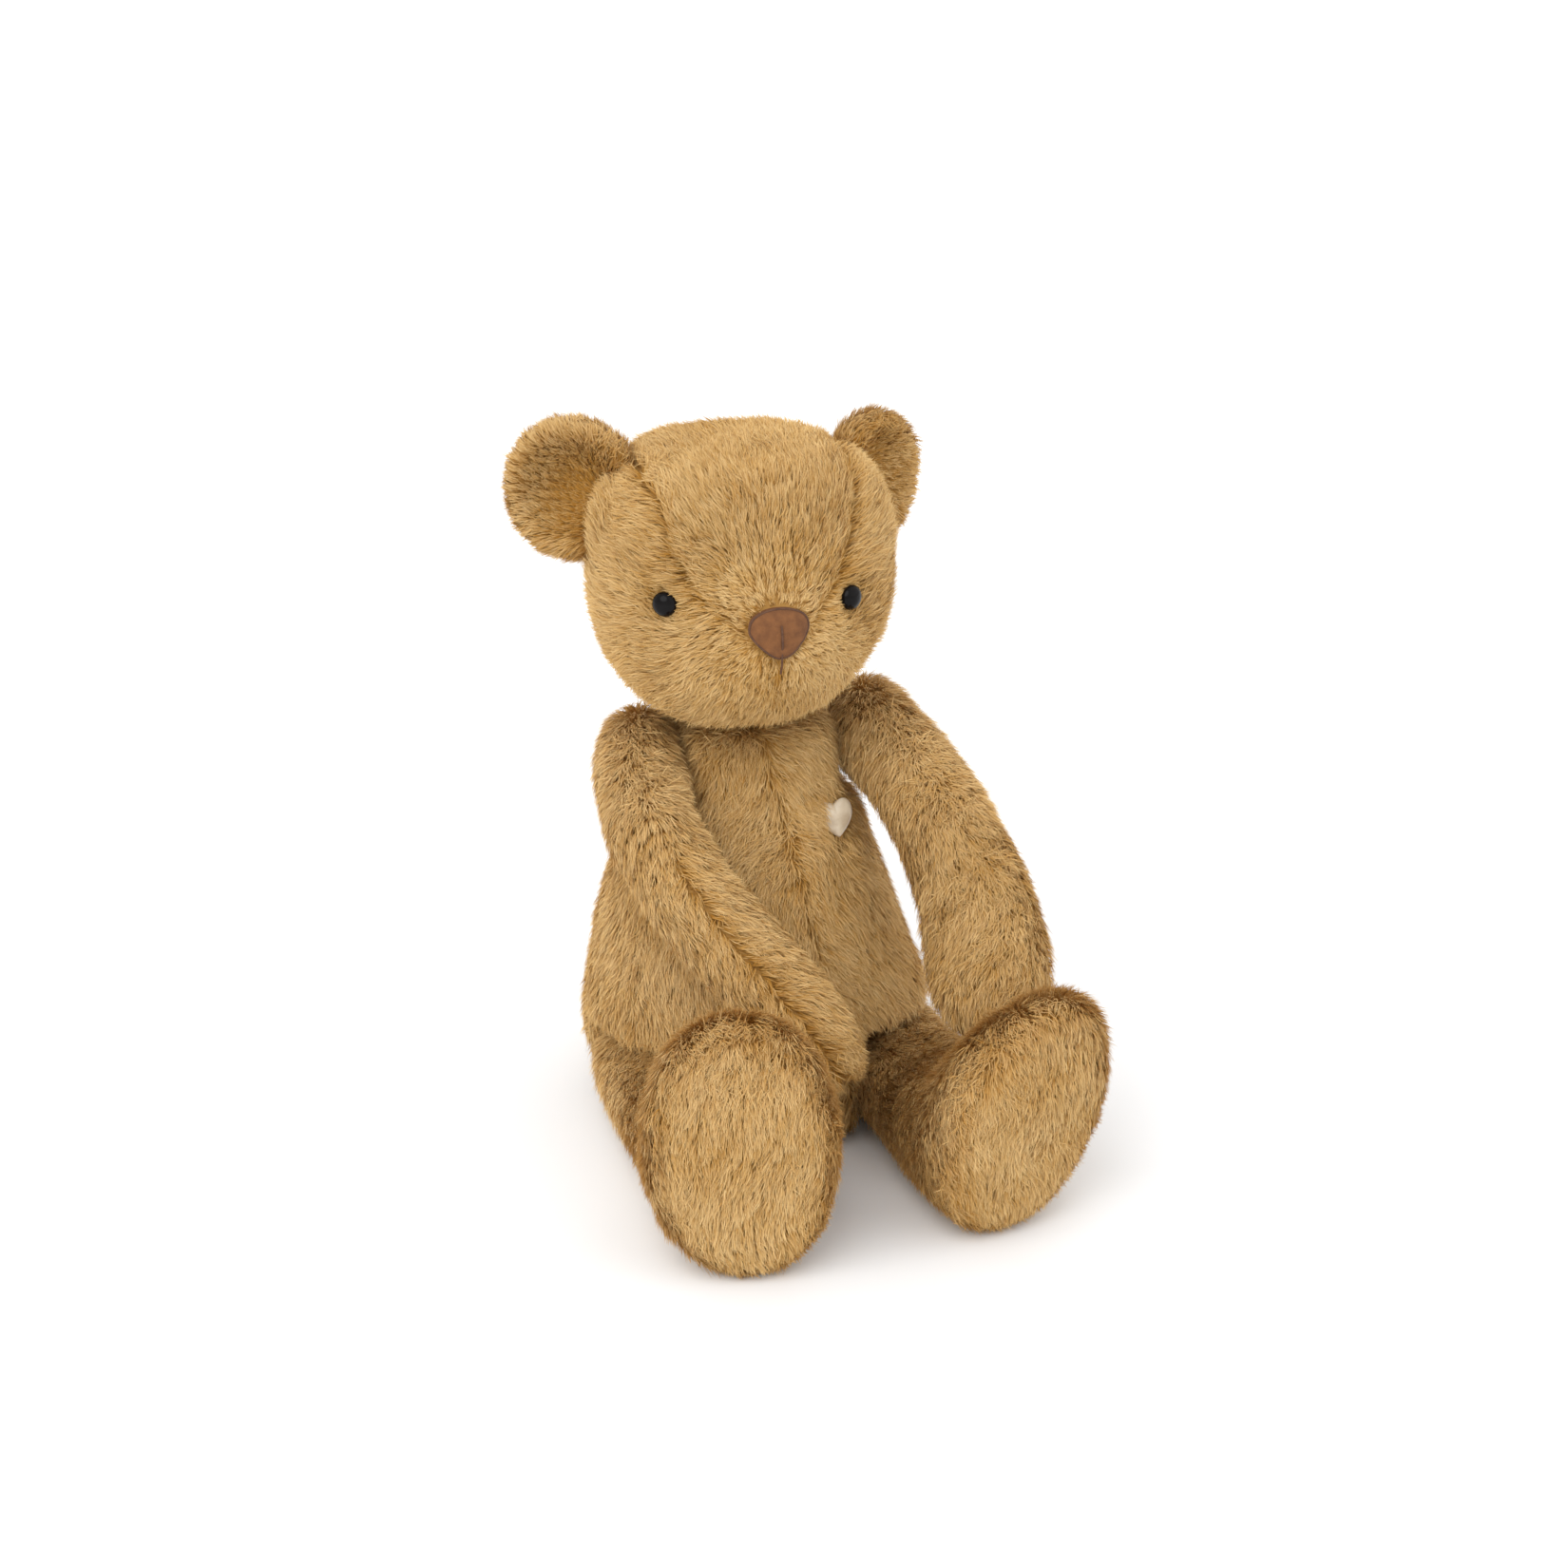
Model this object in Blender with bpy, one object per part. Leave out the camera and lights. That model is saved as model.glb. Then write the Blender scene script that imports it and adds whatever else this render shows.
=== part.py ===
"""A seated, jointed teddy bear: fur fabric panels over stuffing, with disc joints at neck, shoulders and hips.

Metres, +Z up. The bear faces -Y and its own left is +X. The origin is the middle of the flat seat.
"""

import math

import bmesh
import bpy
from mathutils import Matrix, Vector
from mathutils.bvhtree import BVHTree

MM = 0.001

# Fabric and gaps.
PILE_SKIN = 2.4 * MM
GAP = 0.4 * MM
SEAM_GAP = 0.4 * MM
RIDGE_GAP = 0.9 * MM

# Torso: height above the seat, half width, half depth, and the x and y of the ring's centre.
TORSO_RINGS = [
    (0, 50, 54, -2, -4),
    (3, 60, 62, -2, -4),
    (12, 67, 66, -2, -4),
    (28, 70.5, 67, -3, -4),
    (50, 66.5, 63, -5, -3),
    (74, 60.5, 57, -7, -2),
    (98, 53, 51, -8, -1),
    (121, 46.5, 44, -9, 0),
    (142, 39, 35, -9, 0),
    (157, 36, 30, -10, 0),
    (166, 29, 24, -10, 0),
]
TORSO_TOP = 168.5
TORSO_SEGMENTS = 20
BASE_SEAM_HEIGHT = 7 * MM
# The front and back seam lies in one plane, which leans with the body.
BODY_SEAM_X = 21.5 * MM
BODY_SEAM_LEAN = 0.18

# Head: height, half width, half depth. The face is flatter than the back, with the muzzle a smooth bulge.
HEAD_RINGS = [
    (172.5, 22, 20),
    (177, 33, 30),
    (186.5, 43.5, 39),
    (199, 51.5, 45),
    (214, 56.5, 48.5),
    (229.5, 58, 50),
    (244, 57.5, 50),
    (257.5, 54.5, 48),
    (269, 47.5, 43),
    (276, 36.5, 34),
]
HEAD_BOTTOM = 170
HEAD_TOP = 279
HEAD_X = -12
HEAD_Y = -8
HEAD_SEGMENTS = 24
HEAD_SQUARENESS = 2.25
FACE_FLATNESS = 0.86
MUZZLE_REACH = 18
MUZZLE_HALF_WIDTH = 27
MUZZLE_HALF_HEIGHT = 25
MUZZLE_HEIGHT = 216

# Legs, in each leg's own frame: along the leg, height, distance out from the hip, half height, half width,
# and how many degrees the foot turns out there.
HIP_X = 16
HIP_Y = -15
HIP_Z = 19.5
LEG_SPLAY = {1: math.radians(6), -1: math.radians(2)}
THIGH_RADIUS = 19.5
LEG_SQUARENESS = 2.15
LEG_RINGS = [
    (-18, 19.5, 24, 8, 10, 0),
    (-15, 19.5, 24, 13, 17, 0),
    (-9, 19.5, 24, 17.5, 22, 0),
    (2, 20, 24.5, 19, 24, 0),
    (28, 19, 25.5, 18, 25, 0),
    (55, 20.5, 26.5, 19.5, 26, 1),
    (78, 24, 27, 23, 27.5, 3),
    (97, 29.5, 27.5, 28.5, 30, 6),
    (112, 40.5, 28, 39.5, 33, 9),
    (125, 51.5, 29, 50.5, 35, 11),
    (137, 54.5, 30, 53.5, 35, 11),
    (145, 53.5, 31, 49.5, 32, 11),
]
LEG_BACK = -19.5
# The right thigh is pressed wider than the left one, up to this far along.
THIGH_SPREAD = {1: 0, -1: 4}
THIGH_END = 100
THIGH_CLEARANCE = 1.2
LEG_SEAM_SHARE = 0.87
# The room cut in the torso for a thigh, and how far a pocket reaches outward.
POCKET_FRONT = 120
POCKET_RISE = 64
POCKET_DROP = 45
POCKET_GAP = 0.6
POCKET_DEPTH = 150 * MM
# How far each foot's top falls outward and forward, as slopes.
FOOT_LEAN = {1: (0.14, 0.12), -1: (0.02, 0.0)}
FOOT_TURN = 11
# The height of each foot against the rings, which grows from this far along to the end of the thigh.
FOOT_SIZE = {1: 0.94, -1: 1.02}
FOOT_START = 70
SOLE_END = 150
SOLE_SEAM = 142.5

# Arms: spine points in world millimetres, half width across the panels, half thickness.
ARM_RIGHT_SPINE = [
    (-50, 14, 157, 8, 8),
    (-50, 9, 156, 14, 12.8),
    (-52, -5, 152, 18, 15.8),
    (-59, -37, 142, 18, 16.3),
    (-47, -63, 116, 18, 16.3),
    (-25, -81, 90, 18, 16.3),
    (-9, -96, 70, 18, 15.3),
    (-2, -104, 59, 13, 11.8),
    (1, -107, 53, 7, 7),
]
ARM_LEFT_SPINE = [
    (43, 17, 157, 8, 8),
    (43, 12, 156, 14, 12.8),
    (44, -1, 152, 18, 15.8),
    (51, -27, 145, 18, 15.8),
    (60, -52, 128, 19, 15.8),
    (65, -76, 105, 22, 16.3),
    (65, -94, 84, 24, 16.3),
    (63, -104, 71, 19, 13.8),
    (62, -108, 64, 10, 8),
]
ARM_RIGHT_FACES = ((-0.99, -0.12, 0), (-0.9, 0.5, 0.1))
ARM_LEFT_FACES = ((0.99, -0.12, 0), (0.3, 0.85, -0.4))
ARM_ROWS = 11
ARM_SEGMENTS = 12
ARM_CAP = 2 * MM
ARM_HALF_WALL = 9 * MM
LEG_SEGMENTS = 14

# Joint hardware. A place is a point on the face between the two bodies and the direction into the limb.
# A plate is its radius, the depth of the disc in the limb and the depth of the washer in the torso.
STEM_RADIUS = 3 * MM
STEM_HOLE = 3.5 * MM
PLATE = 2 * MM
LOCK = 1.5 * MM
LOCK_RADIUS = 6.5 * MM
RIM = 0.6 * MM
NECK = ((-12, -4, 169.3), (0, 0, 1))
SHOULDER_LEFT = ((26.2, -1, 152), (0.99, -0.12, 0))
SHOULDER_RIGHT = ((-34.2, -4, 152), (-0.99, -0.12, 0))
NECK_PLATE = (14, 5.6, 5.6)
SHOULDER_PLATE = (8.2, 9.4, 12.5)
HIP_PLATE = (9.5, 8.6, 3.6)
SHOULDER_POCKET = 27 * MM
HOLE_REACH = 30 * MM

# Ears, eyes, nose, mouth and badge.
EAR_OUT = 62.5
EAR_Y = 8
EAR_Z = {1: 256, -1: 261}
EAR_FACES = (0.55, -0.82, 0.12)
EAR_RADIUS = {1: 20.5, -1: 23}
EAR_RIM = 0.8
EAR_CUP = 7
EAR_WALL = 3.4
EYE_X = {1: 30.5, -1: 37}
EYE_Z = {1: 229, -1: 232}
EYE_RADIUS = 4.6 * MM
EYE_DOME = 0.62
EYE_BASE = 1.6 * MM
EYE_FORWARD = 0.6
EYE_SHANK = 1.6 * MM
EYE_WASHER_DEPTH = 5.6 * MM
EYE_WASHER_RADIUS = 5 * MM
EYE_SEGMENTS = 18
GUSSET = [(10, 219), (26, 235), (33.5, 250), (38, 268), (43, 282), (43, 295)]
NOSE_Z = 224.5
NOSE_HALF_WIDTH = 12
NOSE_HALF_HEIGHT = 9
MOUTH_LENGTH = 9
BADGE_X = 20
BADGE_Z = 128.5
BADGE_THICK = 1.6 * MM
BADGE_SIZE = 13
MOUTH_DROP = 1.4
BADGE_STAND_OFF = 0.6 * MM
STITCH_RADIUS = 0.6 * MM


def clear_scene():
    for obj in list(bpy.data.objects):
        bpy.data.objects.remove(obj, do_unlink=True)


def material(name, colour, roughness, metallic=0.0):
    """A Principled material with one colour."""
    made = bpy.data.materials.get(name) or bpy.data.materials.new(name)
    made.use_nodes = True
    shader = made.node_tree.nodes["Principled BSDF"]
    shader.inputs["Base Color"].default_value = (*colour, 1)
    shader.inputs["Roughness"].default_value = roughness
    shader.inputs["Metallic"].default_value = metallic
    made.diffuse_color = (*colour, 1)
    return made


def finishes():
    return {
        "fur": material("fur", (0.52, 0.30, 0.11), 0.9),
        "stuffing": material("stuffing", (0.85, 0.84, 0.80), 0.95),
        "plate": material("plate", (0.80, 0.79, 0.74), 0.45),
        "lock": material("lock", (0.62, 0.62, 0.60), 0.3, 1.0),
        "eye": material("eye", (0.008, 0.008, 0.010), 0.12),
        "suede": material("suede", (0.22, 0.09, 0.05), 0.85),
        "badge": material("badge", (0.80, 0.74, 0.62), 0.3),
    }


def object_from(bm, name, finish=None, parent=None):
    """Turns a bmesh into an object, parented without moving it."""
    bmesh.ops.recalc_face_normals(bm, faces=bm.faces)
    mesh = bpy.data.meshes.new(name)
    bm.to_mesh(mesh)
    bm.free()
    mesh.shade_smooth()
    mesh.set_sharp_from_angle(angle=math.radians(40))
    obj = bpy.data.objects.new(name, mesh)
    bpy.context.scene.collection.objects.link(obj)
    if finish:
        mesh.materials.append(finish)
    if parent:
        obj.parent = parent
        obj.matrix_parent_inverse = parent.matrix_world.inverted()
    return obj


def guide(obj):
    """Marks an object as a cutter or a guide, which is not a piece of the bear."""
    obj.hide_render = True
    obj.display_type = "WIRE"
    return obj


def joint_empty(name, place, axis):
    """An empty on a joint's axis, which the pieces of the moving body hang from."""
    empty = bpy.data.objects.new(name, None)
    bpy.context.scene.collection.objects.link(empty)
    empty.matrix_world = Matrix.Translation(place) @ axis.to_track_quat("Z", "Y").to_matrix().to_4x4()
    bpy.context.view_layer.update()
    return empty


def boolean(obj, operation, *others):
    for other in others:
        modifier = obj.modifiers.new(f"{operation} {other.name}"[:60], "BOOLEAN")
        modifier.operation = operation
        modifier.solver = "EXACT"
        modifier.object = other
    return obj


def copy_of(source, name, finish=None, parent=None):
    """A new object with the same shape and modifiers as a guide."""
    obj = source.copy()
    obj.data = source.data.copy()
    obj.name = name
    obj.hide_render = False
    obj.display_type = "TEXTURED"
    bpy.context.scene.collection.objects.link(obj)
    if finish:
        obj.data.materials.clear()
        obj.data.materials.append(finish)
    if parent:
        obj.parent = parent
        obj.matrix_parent_inverse = parent.matrix_world.inverted()
    return obj


def closed_loft(rings, first_tip, last_tip):
    """A closed tube through rings of points, with a point at each end."""
    bm = bmesh.new()
    rows = [[bm.verts.new(point) for point in ring] for ring in rings]
    for row, following in zip(rows, rows[1:]):
        for i in range(len(row)):
            j = (i + 1) % len(row)
            bm.faces.new((row[i], row[j], following[j], following[i]))
    for row, tip in ((rows[0], first_tip), (rows[-1], last_tip)):
        end = bm.verts.new(tip)
        for i in range(len(row)):
            bm.faces.new((row[i], row[(i + 1) % len(row)], end))
    bmesh.ops.triangulate(bm, faces=bm.faces)
    return bm


def ellipse(centre, side, up, segments, squareness=2.0):
    """Points round an ellipse; side and up are its half axes. Above 2, squareness makes it boxier."""
    points = []
    for i in range(segments):
        turn = 2 * math.pi * (i + 0.5) / segments
        cos, sin = math.cos(turn), math.sin(turn)
        across = math.copysign(abs(cos) ** (2 / squareness), cos)
        along = math.copysign(abs(sin) ** (2 / squareness), sin)
        points.append(centre + side * across + up * along)
    return points


def smooth_rows(rows, count):
    """Rows of numbers resampled on a Catmull-Rom curve through them."""
    rows = [Vector(row) for row in rows]
    out = []
    for k in range(count):
        place = k * (len(rows) - 1) / (count - 1)
        i = min(int(place), len(rows) - 2)
        t = place - i
        a, b, c, d = (rows[min(max(i + n, 0), len(rows) - 1)] for n in (-1, 0, 1, 2))
        bend = 2 * a - 5 * b + 4 * c - d
        out.append(0.5 * (2 * b + (c - a) * t + bend * t * t + (3 * b - a - 3 * c + d) * t ** 3))
    return out


def shrunk(source, name, depth, finish=None, parent=None):
    """A shape whose surface lies the given depth under another's; a guide unless it has a finish."""
    obj = copy_of(source, name, finish, parent)
    bm = bmesh.new()
    bm.from_mesh(obj.data)
    bm.normal_update()
    moves = [(vert, vert.normal.copy()) for vert in bm.verts]
    for vert, normal in moves:
        vert.co -= normal * depth
    bm.to_mesh(obj.data)
    bm.free()
    return obj if finish else guide(obj)


def cylinder(name, start, axis, length, radius, finish=None, parent=None, segments=16):
    bm = bmesh.new()
    turn = axis.to_track_quat("Z", "Y").to_matrix().to_4x4()
    place = Matrix.Translation(start + axis * length / 2) @ turn
    bmesh.ops.create_cone(
        bm, cap_ends=True, segments=segments, radius1=radius, radius2=radius, depth=length, matrix=place
    )
    obj = object_from(bm, name, finish, parent)
    return obj if finish else guide(obj)


def prism(name, outline, place, across, along, out, depth):
    """An outline extruded along out, as a cutter. Across and along are the ways of its two numbers."""
    bm = bmesh.new()
    near = [bm.verts.new(place + across * a + along * b) for a, b in outline]
    far = [bm.verts.new(vert.co + out * depth) for vert in near]
    bm.faces.new(near)
    bm.faces.new(list(reversed(far)))
    for i in range(len(near)):
        j = (i + 1) % len(near)
        bm.faces.new((near[i], far[i], far[j], near[j]))
    return guide(object_from(bm, name))


def torso_shape():
    rings = []
    for height, half_width, half_depth, x, y in TORSO_RINGS:
        centre = Vector((x, y, height)) * MM
        side, back = Vector((half_width * MM, 0, 0)), Vector((0, half_depth * MM, 0))
        rings.append(ellipse(centre, side, back, TORSO_SEGMENTS))
    neck_x = TORSO_RINGS[-1][3]
    bm = closed_loft(rings, Vector((0, 0, 0)), Vector((neck_x, 0, TORSO_TOP)) * MM)
    return guide(object_from(bm, "torso_outer"))


def muzzle(point):
    """How far the muzzle pushes a point of the face forward."""
    if point.y > 0:
        return 0
    across = point.x / (MUZZLE_HALF_WIDTH * MM)
    above = (point.z - MUZZLE_HEIGHT * MM) / (MUZZLE_HALF_HEIGHT * MM)
    return MUZZLE_REACH * MM * math.exp(-(across ** 2) - above ** 2)


def head_shape():
    rings = []
    for height, half_width, half_depth in HEAD_RINGS:
        centre = Vector((0, 0, height * MM))
        side, back = Vector((half_width * MM, 0, 0)), Vector((0, half_depth * MM, 0))
        ring = ellipse(centre, side, back, HEAD_SEGMENTS, HEAD_SQUARENESS)
        for point in ring:
            bulge = muzzle(point)
            point.y *= FACE_FLATNESS if point.y < 0 else 1
            point.y -= bulge
        rings.append(ring)
    bm = closed_loft(rings, Vector((0, 0, HEAD_BOTTOM)) * MM, Vector((0, 0, HEAD_TOP)) * MM)
    bmesh.ops.translate(bm, verts=bm.verts, vec=(HEAD_X * MM, HEAD_Y * MM, 0))
    return guide(object_from(bm, "head_outer"))


def leg_frame(side):
    """The hip point on the leg's inner face, the way along the leg and the way out of the torso."""
    hip = Vector((side * HIP_X, HIP_Y, HIP_Z)) * MM
    splay = LEG_SPLAY[side]
    forward = Vector((side * math.sin(splay), -math.cos(splay), 0))
    out = Vector((side * math.cos(splay), math.sin(splay), 0))
    return hip, forward, out


def leg_shape(side, word):
    hip, forward, out = leg_frame(side)
    floor = Vector((hip.x, hip.y, 0))

    def at(along, height, away):
        return floor + (forward * along + out * away + Vector((0, 0, height))) * MM

    rings = []
    for along, height, away, half_height, half_width, turn in LEG_RINGS:
        lean = [slope * turn / FOOT_TURN for slope in FOOT_LEAN[side]]
        turn = math.radians(turn)
        spread = THIGH_SPREAD[side] * max(0, min(1, (THIGH_END - along) / THIGH_END))
        foot = 1 + (FOOT_SIZE[side] - 1) * max(0, min(1, (along - FOOT_START) / (THIGH_END - FOOT_START)))
        height *= foot
        half_height *= foot
        away += spread
        half_width += spread
        across = (out * math.cos(turn) - forward * math.sin(turn)) * half_width * MM
        up = (Vector((0, 0, 1)) + out * lean[0] + forward * lean[1]) * half_height * MM
        rings.append(ellipse(at(along, height, away), across, up, LEG_SEGMENTS, LEG_SQUARENESS))
    back, sole = LEG_RINGS[0], LEG_RINGS[-1]
    start = at(LEG_BACK, back[1], back[2] + THIGH_SPREAD[side])
    bm = closed_loft(rings, start, at(SOLE_END, sole[1] * FOOT_SIZE[side], sole[2]))
    return guide(object_from(bm, f"leg_{word}_outer"))


def arm_frames(spine, faces):
    """Point, half width vector and half thickness vector of each ring along an arm.

    Faces are the directions that the outer panel faces at the shoulder and at the paw.
    """
    rows = smooth_rows(spine, ARM_ROWS)
    points = [Vector(row[:3]) * MM for row in rows]
    frames = []
    for i, row in enumerate(rows):
        along = (points[min(i + 1, len(points) - 1)] - points[max(i - 1, 0)]).normalized()
        face = Vector(faces[0]).lerp(Vector(faces[1]), i / (len(rows) - 1))
        thick = (face - along * face.dot(along)).normalized()
        wide = along.cross(thick)
        frames.append((points[i], wide * row[3] * MM, thick * row[4] * MM))
    return frames


def arm_ends(frames, reach):
    """The points that lie a distance past the first and the last ring."""
    first, second, last, before = (frames[i][0] for i in (0, 1, -1, -2))
    return first + (first - second).normalized() * reach, last + (last - before).normalized() * reach


def arm_shape(frames, word):
    rings = [ellipse(*frame, ARM_SEGMENTS) for frame in frames]
    return guide(object_from(closed_loft(rings, *arm_ends(frames, ARM_CAP)), f"arm_{word}_outer"))


def arm_half(frames, side, name):
    """A cutter that covers one half of an arm, from just past its ridge seams outward."""
    wall = ARM_HALF_WALL
    past = arm_ends(frames, 3 * ARM_CAP)
    frames = [(past[0], *frames[1][1:])] + frames[1:-1] + [(past[1], *frames[-2][1:])]
    rings = []
    for point, wide, thick in frames:
        across, out = wide.normalized() * (wide.length + wall), thick.normalized() * side
        edge, far = out * -RIDGE_GAP / 2, out * (thick.length + wall)
        near_pair = [point + across + edge, point - across + edge]
        rings.append(near_pair + [point - across + far, point + across + far])
    return guide(object_from(closed_loft(rings, *arm_ends(frames, MM)), name))


def half_space(name, point, direction, reach=900 * MM):
    """A large cube on one side of a plane, as a cutter."""
    bm = bmesh.new()
    turn = direction.to_track_quat("Z", "Y").to_matrix().to_4x4()
    place = Matrix.Translation(point + direction * reach / 2) @ turn
    bmesh.ops.create_cube(bm, size=reach, matrix=place)
    return guide(object_from(bm, name))


def turned(name, start, axis, profile, finish=None, parent=None, closed=False, segments=12):
    """A profile of (radius, distance along the axis) turned about the axis; closed for a ring."""
    bm = bmesh.new()
    turn = axis.to_track_quat("Z", "Y").to_matrix()
    rows = []
    for radius, along in profile:
        if radius == 0:
            rows.append([bm.verts.new(start + axis * along)])
            continue
        angles = [2 * math.pi * i / segments for i in range(segments)]
        circle = [turn @ Vector((radius * math.cos(a), radius * math.sin(a), 0)) for a in angles]
        rows.append([bm.verts.new(start + axis * along + point) for point in circle])
    pairs = list(zip(rows, rows[1:])) + ([(rows[-1], rows[0])] if closed else [])
    for row, following in pairs:
        for i in range(segments):
            j = (i + 1) % segments
            corners = [row[i % len(row)], row[j % len(row)], following[j % len(following)]]
            corners.append(following[i % len(following)])
            bm.faces.new(list(dict.fromkeys(corners)))
    obj = object_from(bm, name, finish, parent)
    return obj if finish else guide(obj)


def panel(outer, inner, name, finish, parent, *cuts):
    """The skin between two guides, on the inner side of every cut."""
    obj = copy_of(outer, name, finish, parent)
    boolean(obj, "DIFFERENCE", inner)
    return boolean(obj, "DIFFERENCE", *cuts)


def joint_line(word):
    """The point and direction of a joint's axis."""
    if word.startswith("hip"):
        hip, _, out = leg_frame(1 if word == "hip_left" else -1)
        return hip, out
    place, axis = {"neck": NECK, "shoulder_left": SHOULDER_LEFT, "shoulder_right": SHOULDER_RIGHT}[word]
    return Vector(place) * MM, Vector(axis).normalized()


def joint_set(word, plate, disc_name, looks, parent):
    """The disc and stem in the limb, and the washer and lock washer in the torso. Returns the cutters."""
    place, axis = joint_line(word)
    radius, disc_depth, washer_depth = (size * MM for size in plate)
    lock_start = -washer_depth - PLATE - GAP
    stem_end = lock_start - LOCK - 1 * MM
    disc_end = disc_depth + PLATE
    profile = [(0, stem_end), (STEM_RADIUS * 0.7, stem_end), (STEM_RADIUS, stem_end + 1 * MM)]
    profile += [(STEM_RADIUS, disc_depth), (radius, disc_depth), (radius, disc_end), (0, disc_end)]
    turned(disc_name, place, axis, profile, looks["plate"], parent)
    bore = STEM_RADIUS + GAP
    washer = [(bore, -washer_depth), (radius, -washer_depth), (radius, -washer_depth - PLATE)]
    washer.append((bore, -washer_depth - PLATE))
    turned(f"{word}_washer", place, axis, washer, looks["plate"], closed=True)
    lock = [(bore, lock_start), (LOCK_RADIUS, lock_start - LOCK / 3)]
    lock += [(LOCK_RADIUS, lock_start - LOCK), (bore, lock_start - LOCK)]
    turned(f"{word}_lock", place, axis, lock, looks["lock"], closed=True)
    room = radius + RIM
    hole = cylinder(f"{word}_hole", place - axis * HOLE_REACH, axis, 2 * HOLE_REACH, STEM_HOLE)
    limb = cylinder(f"{word}_limb_room", place - axis * 5 * MM, axis, 5 * MM + disc_end + GAP, room)
    deep = -stem_end + GAP
    torso = cylinder(f"{word}_torso_room", place - axis * deep, axis, deep + 5 * MM, room)
    return hole, limb, torso


def thigh_pocket(side, word, grow):
    """The room in the torso for a thigh to turn from straight ahead to straight down."""
    hip, forward, out = leg_frame(side)
    radius = THIGH_RADIUS + THIGH_CLEARANCE + grow
    front, low = POCKET_FRONT, -POCKET_DROP
    outline = [(front, low), (front, POCKET_RISE), (58, 30 + grow), (26, radius + 1)]
    for step in range(7):
        angle = math.radians(90 + 15 * step)
        outline.append((radius * math.cos(angle), radius * math.sin(angle)))
    outline.append((-radius, low))
    outline = [(a * MM, b * MM) for a, b in outline]
    start = hip - out * (POCKET_GAP + grow) * MM
    up = Vector((0, 0, 1))
    return prism(f"pocket_{word}_{grow:.1f}", outline, start, forward, up, out, POCKET_DEPTH)


def shoulder_pocket(word, grow):
    """The flat on the torso that an arm turns against."""
    place, axis = joint_line(f"shoulder_{word}")
    name = f"shoulder_pocket_{word}_{grow:.1f}"
    return cylinder(name, place - axis * grow * MM, axis, POCKET_DEPTH, SHOULDER_POCKET + grow * MM)


def pockets(grow):
    grow = grow / MM
    found = []
    for side, word in ((1, "left"), (-1, "right")):
        found += [thigh_pocket(side, word, grow), shoulder_pocket(word, grow)]
    return found


def make_torso(looks, holes, rooms):
    outer = torso_shape()
    inner = boolean(shrunk(outer, "torso_inner", PILE_SKIN), "DIFFERENCE", *pockets(PILE_SKIN))
    outside = pockets(0)
    half = SEAM_GAP / 2
    up, left = Vector((0, 0, 1)), Vector((1, 0, BODY_SEAM_LEAN)).normalized()
    seam = Vector((0, 0, BASE_SEAM_HEIGHT))
    above = half_space("above_base_seam", seam - up * half, up)
    below = half_space("below_base_seam", seam + up * half, -up)
    middle = Vector((BODY_SEAM_X, 0, 0))
    right_side = half_space("torso_right_side", middle + left * half, -left)
    left_side = half_space("torso_left_side", middle - left * half, left)
    fur = looks["fur"]
    panel(outer, inner, "torso_left_panel", fur, None, *outside, below, right_side, *holes)
    panel(outer, inner, "torso_right_panel", fur, None, *outside, below, left_side, *holes)
    panel(outer, inner, "torso_base_panel", fur, None, *outside, above)
    stuffing = shrunk(outer, "torso_stuffing", PILE_SKIN + GAP, looks["stuffing"])
    boolean(stuffing, "DIFFERENCE", *pockets(PILE_SKIN + GAP), *rooms)
    return outer


def make_limb(outer, name, looks, parent, seams, holes, rooms):
    """Panels and stuffing of a limb or the head. Seams gives the cuts of each panel by its name."""
    inner = shrunk(outer, f"{name}_inner", PILE_SKIN)
    for piece, cuts in seams.items():
        panel(outer, inner, piece, looks["fur"], parent, *cuts, *holes)
    stuffing = shrunk(outer, f"{name}_stuffing", PILE_SKIN + GAP, looks["stuffing"], parent)
    boolean(stuffing, "DIFFERENCE", *rooms)


def on_surface(source, start, direction):
    """Where a ray first meets a guide's surface, and the surface's direction there."""
    bm = bmesh.new()
    bm.from_mesh(source.data)
    place, normal, _, _ = BVHTree.FromBMesh(bm).ray_cast(Vector(start), Vector(direction))
    bm.free()
    return place, normal


def eye(head, side, word, looks, parent):
    """A domed safety eye on its shank, with a washer inside the head. Returns the cutters for both."""
    start = Vector((HEAD_X + side * EYE_X[side], -200, EYE_Z[side])) * MM
    place, out = on_surface(head, start, (0, 1, 0))
    out = (out - Vector((0, EYE_FORWARD, 0))).normalized()
    shank_end = -EYE_WASHER_DEPTH - PLATE - 1.5 * MM
    profile = [(0, shank_end), (EYE_SHANK, shank_end), (EYE_SHANK, EYE_BASE)]
    for step in range(5):
        angle = math.radians(18 * step)
        profile.append((EYE_RADIUS * math.cos(angle), EYE_BASE + EYE_RADIUS * EYE_DOME * math.sin(angle)))
    profile.append((0, EYE_BASE + EYE_RADIUS * EYE_DOME))
    turned(f"eye_{word}", place, out, profile, looks["eye"], parent, segments=EYE_SEGMENTS)
    near, far = -EYE_WASHER_DEPTH, -EYE_WASHER_DEPTH - PLATE / 2
    bore = EYE_SHANK + GAP
    ring = [(bore, near), (EYE_WASHER_RADIUS, near), (EYE_WASHER_RADIUS, far), (bore, far)]
    washer = f"eye_washer_{word}"
    turned(washer, place, out, ring, looks["plate"], parent, closed=True, segments=EYE_SEGMENTS)
    hole = cylinder(f"eye_hole_{word}", place - out * 12 * MM, out, 20 * MM, EYE_SHANK + GAP, segments=16)
    depth = -shank_end + GAP
    wide = EYE_WASHER_RADIUS + RIM
    room = cylinder(f"eye_room_{word}", place - out * depth, out, depth, wide, segments=16)
    return hole, room


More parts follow.
